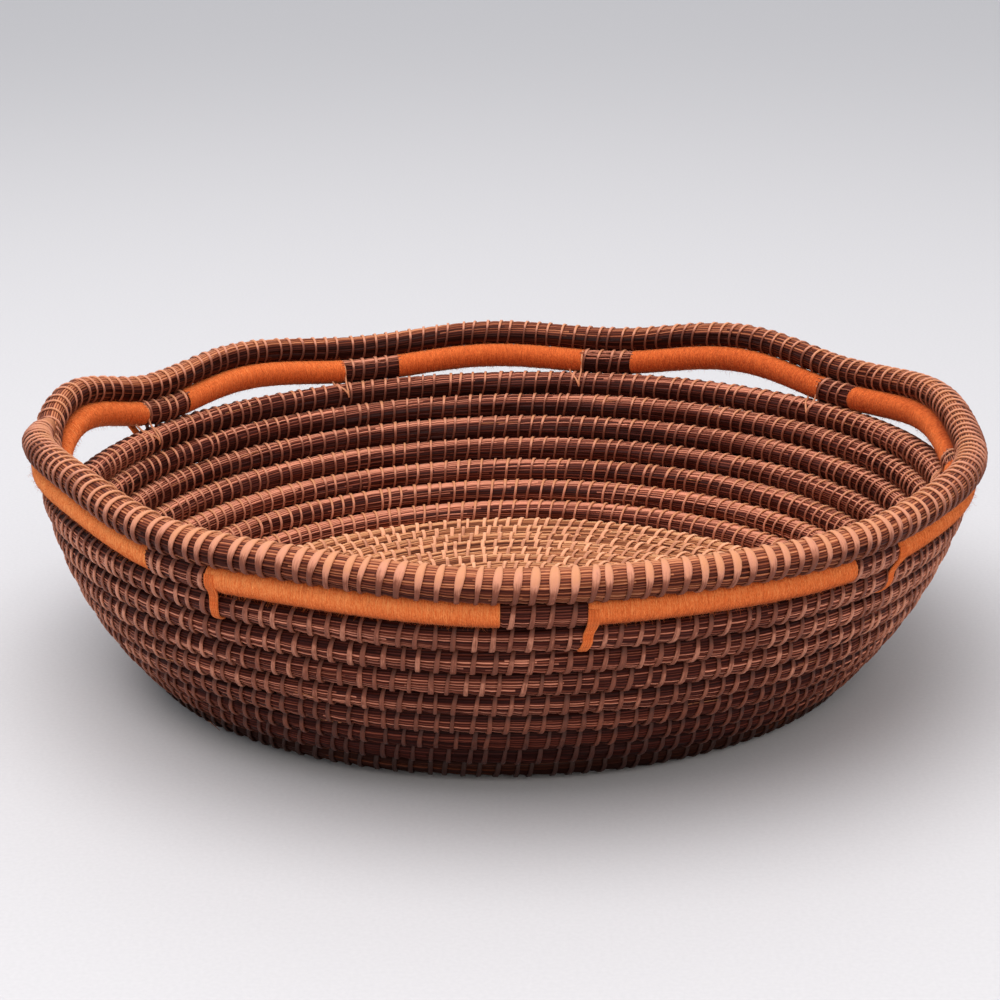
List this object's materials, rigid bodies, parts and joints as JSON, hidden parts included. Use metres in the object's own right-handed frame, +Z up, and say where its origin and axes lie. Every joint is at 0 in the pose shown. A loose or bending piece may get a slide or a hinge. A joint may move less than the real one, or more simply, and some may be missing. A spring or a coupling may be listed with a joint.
{
  "type": "coiled basket",
  "caption": "Round open bowl of coiled plant fibre with sloping walls, a wavy rim and a band of arched windows wrapped in yarn.",
  "frame": {"origin": "middle of the flat underside of the floor", "axes": "+Z up out of the bowl, +Y away from the side that the picture shows in front, +X to the right in it"},
  "size_m": [0.2621, 0.2713, 0.0728],
  "materials": {
    "needle_bundle": "dry brown pine needles in a tight bundle, satin, crossed by fine tan thread",
    "floor_bundle": "the same needles almost covered by rows of peach tan stitches",
    "rim_bundle": "brown needles under broad tan whip stitches, satin",
    "tan_thread": "flat peach tan sewing thread in whip stitches, slightly waxed, satin",
    "orange_yarn": "soft matt orange yarn, closely wound, slightly fuzzy"
  },
  "bodies": {
    "root": {"start_knot": "floor_bundle", "floor_coil": "floor_bundle", "lower_wall_coil": "needle_bundle", "upper_wall_coil": "needle_bundle", "window_coil": "needle_bundle", "rim_coil": "rim_bundle", "window_wrap_1": "orange_yarn", "window_wrap_2": "orange_yarn", "window_wrap_3": "orange_yarn", "window_wrap_4": "orange_yarn", "window_wrap_5": "orange_yarn", "window_wrap_6": "orange_yarn", "window_wrap_7": "orange_yarn", "window_wrap_8": "orange_yarn", "window_wrap_9": "orange_yarn"}
  },
  "joints": []
}
